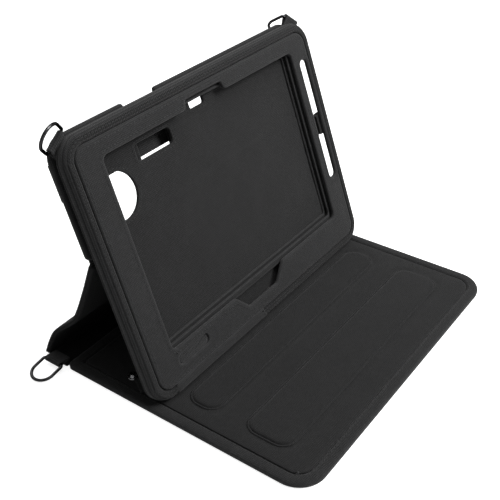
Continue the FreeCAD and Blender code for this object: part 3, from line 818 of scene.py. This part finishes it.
def make_spine():
    low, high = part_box("spine_outer")
    front, back = low[1] / MM, high[1] / MM
    half = high[0] / MM
    loop = rounded_box(-half, front, half, back, 1.6, step=3.0)
    section = [(1.2, 0.0), (0.3, 0.2), (0.0, 0.8), (0.2, 1.8), (1.0, 2.7), (2.4, 3.15), (4.0, 3.2)]
    seam = ([Vector((x, 0.5 * (front + back))) for x in range(-136, 137, 3)], 2.2, 0.5)
    # The spine uses the darker black cloth instead of the outer cloth: painted shade.
    spine = slab("spine_strip", on_table, DARK_CLOTH_AND_SHADE, loop, section, step=3.4, puff=0.15, reach=4.0,
                 creases=[seam], ripple=0.2)
    settle(spine, "spine", "outer_fabric", "spine_outer", "spine_board", "spine_lining")


def make_stand():
    inner_place, length = bent_place(stand_line())

    def place(across, along, out):
        return inner_place(across, along, -out)

    loop = rounded_box(-140.0, 0.4, 140.0, length - 0.6, 2.2, step=4.0)
    section = [(1.0, -1.3), (0.2, -1.2), (0.0, -0.8), (0.15, -0.35), (0.6, -0.05),
               (1.6, 0.05), (4.6, 0.15), (7.2, 0.0), (8.0, -0.45), (8.8, -0.1)]
    knee = ([Vector((x, 47.0)) for x in range(-132, 133, 3)], 3.0, 0.8)
    stand = slab("stand_panel", place, OUTER, loop, section, step=4.0, puff=0.25, reach=6.0,
                 creases=[knee], ripple=0.45)
    settle(stand, "stand", "outer_fabric", "stand_outer", "stand_board_low", "stand_board_high")
    # The stand's inside lining uses the darker black cloth: partly the real black lining, partly painted
    # shade for the shadowed inside of the stand.
    inside_loop = rounded_box(-139.4, 1.0, 139.4, length - 1.2, 2.2, step=4.0)
    lining = slab("stand_inside_lining", inner_place, DARK_CLOTH_AND_SHADE, inside_loop,
                  [(0.8, 1.2), (0.1, 1.4), (0.0, 2.2), (0.2, 3.2), (0.9, 3.9), (2.2, 4.2)], step=4.0,
                  puff=0.2, reach=6.0, ripple=0.5)
    settle(lining, "stand", "lining_fabric", "stand_lining")
    seam = rounded_box(-133.2, 7.2, 133.2, length - 7.4, 2.0, step=3.0)
    return [row(place, seam, 0.02)]


def make_folds():
    """Thin outer cloth that runs over each fold."""
    low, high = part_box("spine_outer")
    front, back = low[1] / MM, high[1] / MM
    first = [Vector((front - 3.4, 0.5)), Vector((front - 0.6, 0.62)), Vector((front + 3.0, 0.5))]
    foot = stand_line()[0]
    second = [Vector((back - 3.2, 0.5)), Vector((back - 0.3, 0.55)), Vector((foot.x - 0.7, 0.75)),
              Vector((foot.x - 0.25, 1.9)), Vector((foot.x - 1.6, 4.6))]
    head = stand_line()[-1]
    cover_low = on_tray(0.0, 121.0, -20.6) / MM
    third = [head + Vector((1.6, -4.2)), head + Vector((0.1, -0.4)), head + Vector((0.0, 0.8)),
             Vector((cover_low.y - 0.9, cover_low.z - 1.2)), Vector((cover_low.y - 0.2, cover_low.z + 2.6))]
    for name, points, lower, upper, half in (
            ("front_fold_cloth", first, "base", "spine", 139.0),
            ("back_fold_cloth", second, "spine", "stand", 138.5),
            ("top_fold_cloth", third, "stand", "tray", 138.5)):
        place, length = bent_place(smooth_line(points, 6))
        loop = rounded_box(-half, 0.0, half, length, 0.8, step=4.0)
        piece = slab(name, place, OUTER, loop, [(0.3, -0.4), (0.0, 0.0), (0.3, 0.4)], step=1.2)
        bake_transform(piece)


# ---------------------------------------------------------------- tray
def tray_outline(inset, step=3.0):
    half = 0.5 * CASE_LONG - inset
    return rounded_box(-half, inset, half, TRAY_HIGH - inset, max(TRAY_ROUND - inset, 4.0), step=step)


def make_rim():
    """Rolled edge all round the tray, with two openings in its right side."""
    section = [(8.0, -10.4), (2.6, -10.5), (0.9, -10.3), (0.15, -9.7), (0.1, -9.1), (0.55, -8.6),
               (0.6, -8.2), (0.1, -7.7), (0.0, -6.6), (0.0, -5.2), (0.2, -4.6), (0.9, -4.2),
               (1.0, -3.8), (0.7, -3.4), (0.8, -2.7), (1.3, -1.9), (2.2, -1.25), (3.4, -0.95),
               (5.2, -0.9), (6.4, -1.1), (7.1, -1.7), (7.5, -2.8), (8.0, -4.0)]
    rim = band("rolled_edge", on_tray, OUTER, tray_outline(0.0), section)
    cutters = []
    for start, run in SIDE_CUTS:
        loop = rounded_box(130.0, start, 152.0, start + run, 3.0)
        cutters.append(slab("rim_cutter", on_tray, OUTER, loop, [(0.0, -16.0), (0.0, -4.0)], step=20.0))
    carve(rim, cutters)
    settle(rim, "tray", "outer_fabric", "edge_rim")
    binding = [(2.3, -1.2), (2.4, -0.75), (3.0, -0.45), (4.4, -0.3), (6.2, -0.4), (7.0, -0.65),
               (7.6, -1.1), (7.7, -1.6), (6.8, -1.9), (3.4, -1.7)]
    tape = band("binding_tape", on_tray, TAPE, tray_outline(0.0, 2.0), binding)
    settle(tape, "tray", "outer_fabric")
    return [row(on_tray, tray_outline(4.0), -0.34), row(on_tray, tray_outline(6.3), -0.44)]


def window_loop():
    """Window with the head notch above and the tapered thumb notch below."""
    return outline([(-112.0, 32.5, 4.5), (-36.0, 32.5, 5.5), (-23.0, 18.5, 4.0), (15.0, 18.5, 4.0),
                    (29.0, 32.5, 5.5), (112.0, 32.5, 4.5), (112.0, 183.5, 4.5), (20.0, 183.5, 4.4),
                    (20.0, 190.5, 2.4), (-23.5, 190.5, 2.4), (-23.5, 183.5, 4.4),
                    (-112.0, 183.5, 4.5)], step=2.5)


def make_frame():
    window = window_loop()
    slot = rounded_box(121.0, 66.0, 130.5, 173.0, 4.0, step=2.5)
    speaker = rounded_box(-110.0, 18.2, -76.0, 26.2, 3.4, step=2.0)
    edge = [(0.9, -3.2), (0.2, -2.9), (0.0, -2.2), (0.15, -1.0), (0.55, -0.35), (1.2, -0.05), (2.2, 0.05)]
    lip = [(0.6, -3.2), (0.1, -2.8), (0.0, -2.0), (0.1, -0.9), (0.45, -0.25), (1.1, 0.0), (2.4, 0.1),
           (3.6, 0.02)]
    frame_piece = slab("front_face", on_tray, FRAME, tray_outline(8.3), edge,
                       holes=[window, slot, speaker], hole_rim=lip, step=3.0, puff=0.22, reach=5.0,
                       ripple=0.22)
    settle(frame_piece, "tray", "frame_fabric", "front_frame")
    rows = [row(on_tray, inward(window, -3.4), 0.12), row(on_tray, inward(slot, -2.6), 0.12)]
    rows.append(row(on_tray, tray_outline(11.0), 0.16))
    return rows


def make_flap():
    """Flap of the frame cloth that laps over the rolled edge at the lower left."""
    loop = outline([(-121.0, 1.6, 1.0), (-8.6, 1.6, 1.0), (-10.8, 9.6, 1.0), (-121.0, 9.6, 3.0)], step=2.5)
    section = [(0.5, -1.3), (0.1, -1.0), (0.0, -0.4), (0.3, 0.05), (0.9, 0.25), (1.8, 0.3)]
    flap = slab("lower_flap", on_tray, FRAME, loop, section, step=2.5, puff=0.12, reach=3.0, ripple=0.2)
    settle(flap, "tray", "frame_fabric")


def make_steps():
    """Two stepped lips just inside the window, bound in lining cloth that is darkened as painted shade for
    the recess.
    """
    for name, node, low, high in (("lower_lip", "step_low", -9.6, -8.1),
                                  ("upper_lip", "step_high", -6.6, -4.7)):
        left, right = (-116.0, 108.5) if node == "step_low" else (-117.0, 110.2)
        floor, head = (37.4, 186.0) if node == "step_low" else (35.0, 187.0)
        inner = rounded_box(left, floor, right, head, 3.0, step=2.5)
        outer = rounded_box(-120.8, 29.7, 117.0, 189.3, 6.0, step=2.5)
        section = [(0.3, low), (0.0, low + 0.3), (0.0, high - 0.3), (0.3, high)]
        lip = [(0.3, low), (0.0, low + 0.4), (0.0, high - 0.9), (0.3, high - 0.35), (0.9, high)]
        piece = slab(name, on_tray, SHADED_INSIDE_CLOTH, outer, section, holes=[inner], hole_rim=lip, step=3.0)
        settle(piece, "tray", "lining_fabric", node)
        bead = [(-1.1, high - 0.5), (-1.0, high + 0.1), (-0.5, high + 0.35), (0.1, high + 0.2),
                (0.35, high - 0.3), (0.3, high - 1.0), (-0.2, high - 1.1)]
        edge = band(name + "_edge", on_tray, FRAME, inner, bead)
        settle(edge, "tray", "lining_fabric")


def floor_holes(grow=0.0):
    lens = circle(-102.5, 150.3, 17.6 + grow, 44)
    slit = rounded_box(-75.5 - grow, 164.5 - grow, -37.5 + grow, 177.1 + grow, 3.0, step=2.5)
    port = rounded_box(-11.0 - grow, 179.8 - grow, 5.5 + grow, 187.8 + grow, 2.2, step=2.5)
    return [lens, slit, port]


def make_floor():
    loop = rounded_box(-130.0, 12.5, 126.6, 192.5, 9.0, step=4.0)
    edge = [(0.3, -10.2), (0.0, -9.95), (0.3, -9.7)]
    lip = [(0.5, -10.25), (0.1, -10.15), (0.0, -9.95), (0.2, -9.68), (0.8, -9.6)]
    fold = ([Vector((x, 129.0 + 1.2 * math.sin(x / 70.0))) for x in range(-118, 119, 2)], 1.6, 0.55)
    floor = slab("tray_lining_panel", on_tray, INNER, loop, edge, holes=floor_holes(), hole_rim=lip,
                 step=3.2, creases=[fold], ripple=0.5, puff=0.2, reach=10.0)
    settle(floor, "tray", "lining_fabric", "tray_floor")
    return [row(on_tray, inward(hole, -2.2), -9.52) for hole in floor_holes()]


def make_cushion():
    """Soft back of the tray, which shows below the cover."""
    loop = rounded_box(-123.6, 14.4, 123.6, 191.6, 14.0, step=4.0)
    section = [(3.2, -12.0), (1.0, -12.3), (0.1, -13.0), (0.4, -14.2), (1.6, -15.1), (3.6, -15.5)]
    holes = [circle(-99.0, 148.5, 21.1, 40), rounded_box(-79.0, 157.5, -27.0, 180.6, 3.0),
             rounded_box(-14.5, 172.8, 12.5, 188.5, 2.5)]
    lip = [(0.8, -12.0), (0.1, -12.3), (0.0, -13.4), (0.4, -14.8), (1.6, -15.4)]
    pad = slab("back_padding", on_tray, OUTER, loop, section, holes=holes, hole_rim=lip, step=4.5,
               puff=-0.3, reach=8.0, ripple=0.3)
    settle(pad, "tray", "foam", "back_cushion")


def over_loop():
    return outline([(-141.3, 119.3, 4.0), (134.4, 119.3, 4.0), (134.4, 168.0, 2.5), (141.3, 172.0, 2.5),
                    (141.3, 205.8, 16.5), (-33.2, 205.8, 2.5), (-33.2, 157.2, 3.0), (-65.8, 157.2, 3.0),
                    (-65.8, 205.8, 2.5), (-141.3, 205.8, 16.5)], step=3.0)


def make_over_cover():
    """Upper half of the back cover: two skins over a board, with a rolled edge."""
    section = [(2.4, -20.5), (1.1, -20.35), (0.3, -19.7), (0.0, -18.8), (0.1, -17.5), (0.6, -16.6),
               (1.6, -16.0), (3.0, -15.85)]
    lens = circle(-93.5, 145.5, 21.6, 44)
    port = rounded_box(-8.8, 174.2, 12.8, 187.8, 3.0, step=2.5)
    cover = slab("upper_back_cover", on_tray, OUTER, over_loop(), section, holes=[lens, port], step=4.2,
                 under=0.35, reach=7.0, ripple=0.25)
    settle(cover, "tray", "outer_fabric", "over_outer", "over_board", "over_inner")
    return [row(on_tray, inward(over_loop(), 4.4), -20.62), row(on_tray, inward(lens, -3.2), -20.6)]


def make_strap():
    """Broad elastic hand strap, sewn down at both ends and slack between."""
    low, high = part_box("hand_strap")
    left, right = low[0] / MM + 1.0, high[0] / MM - 1.0
    middle = 176.5
    line = []
    for part in range(33):
        share = part / 32.0
        rise = 0.9 * math.sin(math.pi * share) ** 0.6 if 0.0 < share < 1.0 else 0.0
        line.append(on_tray(left + (right - left) * share, middle, -21.35 - rise))
    side = tray_direction(0.0, 1.0, 0.0)
    strap = ribbon("elastic_hand_strap", WEBBING, line, [side] * len(line), 26.5, 1.5)
    settle(strap, "tray", "webbing", "hand_strap")
    rows = []
    patch_wide, patch_low, patch_high, level = 14.0, 165.5, 187.5, -22.35
    for start in (left + 2.0, right - 2.0 - patch_wide):
        box_loop = rounded_box(start, patch_low, start + patch_wide, patch_high, 1.0, step=2.0)
        rows.append(row(on_tray, box_loop, level))
        for first, last in ((start, start + patch_wide), (start + patch_wide, start)):
            cross = [on_tray(first + (last - first) * part / 8.0,
                             patch_low + (patch_high - patch_low) * part / 8.0, level)
                     for part in range(9)]
            rows.append((cross, False))
    return rows


def make_speaker():
    """Speaker mesh: a recessed strip with rows of small domes, inside a bound edge."""
    loop = rounded_box(-109.7, 18.5, -76.3, 25.9, 3.2, step=2.0)
    section = [(0.4, -3.0), (0.0, -2.7), (0.0, -1.9), (0.4, -1.5)]
    plate = slab("speaker_mesh", on_tray, WEBBING, loop, section, step=2.0)
    settle(plate, "tray", "mesh", "sound_mesh")
    rows = []
    for line in range(4):
        v = 19.6 + 1.75 * line
        shift = 0.85 * (line % 2)
        dots = [on_tray(-107.6 + shift + 0.85 * index, v, -1.45) for index in range(36)]
        rows.append((dots, False))
    return rows


# ---------------------------------------------------------------- rings and tabs
def loop_tab(name, node, slot, body, base, bar, base_side, bar_side, wide, up):
    """Webbing that comes off the case, goes round a ring's bar and back under itself."""
    out = (bar - base).normalized()
    radius = 1.9 * MM
    over = [base + up * 1.0 * MM, base.lerp(bar, 0.45) + up * 1.3 * MM]
    over.append(bar - out * 1.6 * MM + up * radius)
    for turn in (90.0, 45.0, 0.0, -45.0, -90.0):
        angle = math.radians(turn)
        over.append(bar + out * radius * math.cos(angle) + up * radius * math.sin(angle))
    over.append(bar - out * 3.0 * MM - up * 1.1 * MM)
    over.append(base.lerp(bar, 0.4) - up * 0.35 * MM)
    over.append(base - up * 0.3 * MM)
    line = smooth_line(over, 5)
    full = (bar - base).length
    sides = [base_side.lerp(bar_side, min(1.0, max(0.0, (point - base).dot(out) / full)))
             for point in line]
    tab = ribbon(name, WEBBING, line, sides, wide, 1.2)
    settle(tab, body, slot, node)


def make_tabs():
    bars = {name: Vector(JOINTS[joint]["pos_m"]) for name, joint in RING_JOINTS.items()}
    turns = {name: Vector(JOINTS[joint]["axis"]) for name, joint in RING_JOINTS.items()}
    for name, sign in (("bottom_left", -1.0), ("bottom_right", 1.0)):
        base = on_table(sign * 136.5, 120.0, 4.3)
        loop_tab("lower_" + name[7:] + "_tab", "tab_" + name, "webbing", "spine", base, bars[name],
                 Vector((0.0, 1.0, 0.0)), turns[name], 15.2, Vector((0.0, 0.0, 1.0)))
    for name, sign in (("top_left", -1.0), ("top_right", 1.0)):
        base = on_tray(sign * 129.5, 193.0, -13.9)
        bar = bars[name]
        up = tray_direction(0.0, 0.0, -1.0)
        side = tray_direction(0.76, 0.64 * -sign, 0.0)
        loop_tab("upper_" + name[4:] + "_tab", "tab_" + name, "webbing", "tray", base, bar, side,
                 turns[name] * sign, 15.0, up)


def dress_frame_nodes():
    """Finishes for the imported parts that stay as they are."""
    # The inside parts get the darkened inside cloth: painted shade.
    finishes = {"side_wall": SHADED_INSIDE_CLOTH, "wall_bridge": SHADED_INSIDE_CLOTH, "tray_board": SHADED_INSIDE_CLOTH}
    finishes.update({"ring_" + name: STEEL for name in RING_JOINTS})
    for node, material in finishes.items():
        piece = frame["nodes"][node]
        if not piece.data.materials:
            piece.data.materials.append(None)
        for index in range(len(piece.material_slots)):
            piece.material_slots[index].link = "OBJECT"
            piece.material_slots[index].material = material


# ---------------------------------------------------------------- stage, light and camera
def plain(name, colour, rough):
    material, nodes, shader = new_material(name)
    spot = nodes.add("ShaderNodeTexCoord").outputs["Object"]
    shade = nodes.noise(spot, 8.0, 2.0)
    low = tuple(value * 0.985 for value in colour)
    nodes.put(shader.inputs["Base Color"], nodes.mix(shade, (*low, 1.0), (*colour, 1.0)))
    shader.inputs["Roughness"].default_value = rough
    shader.inputs["Specular IOR Level"].default_value = 0.1
    shader.inputs["Emission Color"].default_value = (1.0, 1.0, 1.0, 1.0)
    seen = nodes.add("ShaderNodeLightPath").outputs["Is Camera Ray"]
    nodes.put(shader.inputs["Emission Strength"], nodes.math("MULTIPLY", seen, 0.8))
    return material


def make_stage():
    mesh = bpy.data.meshes.new("table_top")
    reach, drop = 3.0, 0.0003
    corners = [(-reach, -reach, -drop), (reach, -reach, -drop), (reach, reach, -drop),
               (-reach, reach, -drop)]
    mesh.from_pydata(corners, [], [(0, 1, 2, 3)])
    table = bpy.data.objects.new("table_top", mesh)
    bpy.context.scene.collection.objects.link(table)
    mesh.materials.append(plain("table_white", (0.6, 0.6, 0.6), 0.9))


def area_light(name, place, target, size, power):
    data = bpy.data.lights.new(name, "AREA")
    data.shape = "SQUARE"
    data.size = size
    data.energy = power
    lamp = bpy.data.objects.new(name, data)
    bpy.context.scene.collection.objects.link(lamp)
    aim = (Vector(target) - Vector(place)).normalized()
    lamp.matrix_world = Matrix.Translation(place) @ aim.to_track_quat("-Z", "Y").to_matrix().to_4x4()


def make_light():
    world = bpy.data.worlds.new("studio")
    bpy.context.scene.world = world
    world.use_nodes = True
    background = world.node_tree.nodes["Background"]
    background.inputs["Color"].default_value = (1.0, 1.0, 1.0, 1.0)
    background.inputs["Strength"].default_value = 0.4
    middle = (0.0, 0.05, 0.08)
    area_light("key", (0.45, -0.95, 1.2), middle, 0.6, 34.0)
    area_light("fill", (0.1, -0.3, 1.6), middle, 0.9, 16.0)
    area_light("back", (0.5, 0.9, 1.4), middle, 0.8, 8.0)


def make_camera():
    azimuth = math.radians(-53.92)
    elevation = math.radians(33.96)
    roll = math.radians(-0.657)
    distance = 0.80035
    target = Vector((0.070703, 0.089742, 0.0))
    back = Vector((math.sin(azimuth) * math.cos(elevation), -math.cos(azimuth) * math.cos(elevation),
                   math.sin(elevation)))
    side = Vector((math.cos(azimuth), math.sin(azimuth), 0.0))
    up = back.cross(side)
    right = side * math.cos(roll) + up * math.sin(roll)
    top = up * math.cos(roll) - side * math.sin(roll)
    data = bpy.data.cameras.new("studio_camera")
    data.sensor_width = 36.0
    data.lens = 62.33
    data.clip_start = 0.01
    data.clip_end = 50.0
    camera = bpy.data.objects.new("studio_camera", data)
    bpy.context.scene.collection.objects.link(camera)
    turn = Matrix((right, top, back)).transposed().to_4x4()
    camera.matrix_world = Matrix.Translation(target + back * distance) @ turn
    bpy.context.scene.camera = camera
    bpy.context.scene.view_settings.view_transform = "Standard"


# ---------------------------------------------------------------- the whole case
def main():
    base_rows = make_base_cover()
    make_pad("pad_behind", "pad_back")
    make_pad("pad_before", "pad_front")
    make_stud()
    make_spine()
    stand_rows = make_stand()
    make_folds()
    tray_rows = make_rim() + make_frame() + make_floor() + make_over_cover() + make_strap()
    make_steps()
    make_flap()
    make_cushion()
    dots = make_speaker()
    make_tabs()
    dress_frame_nodes()
    stitches("base_stitching", "base", base_rows, seed=3)
    stitches("stand_stitching", "stand", stand_rows, seed=5)
    stitches("tray_stitching", "tray", tray_rows, seed=7)
    stitches("speaker_dots", "tray", dots, pitch=1.7, length=0.9, thick=0.7, seed=9)
    make_stage()
    make_light()
    make_camera()


main()
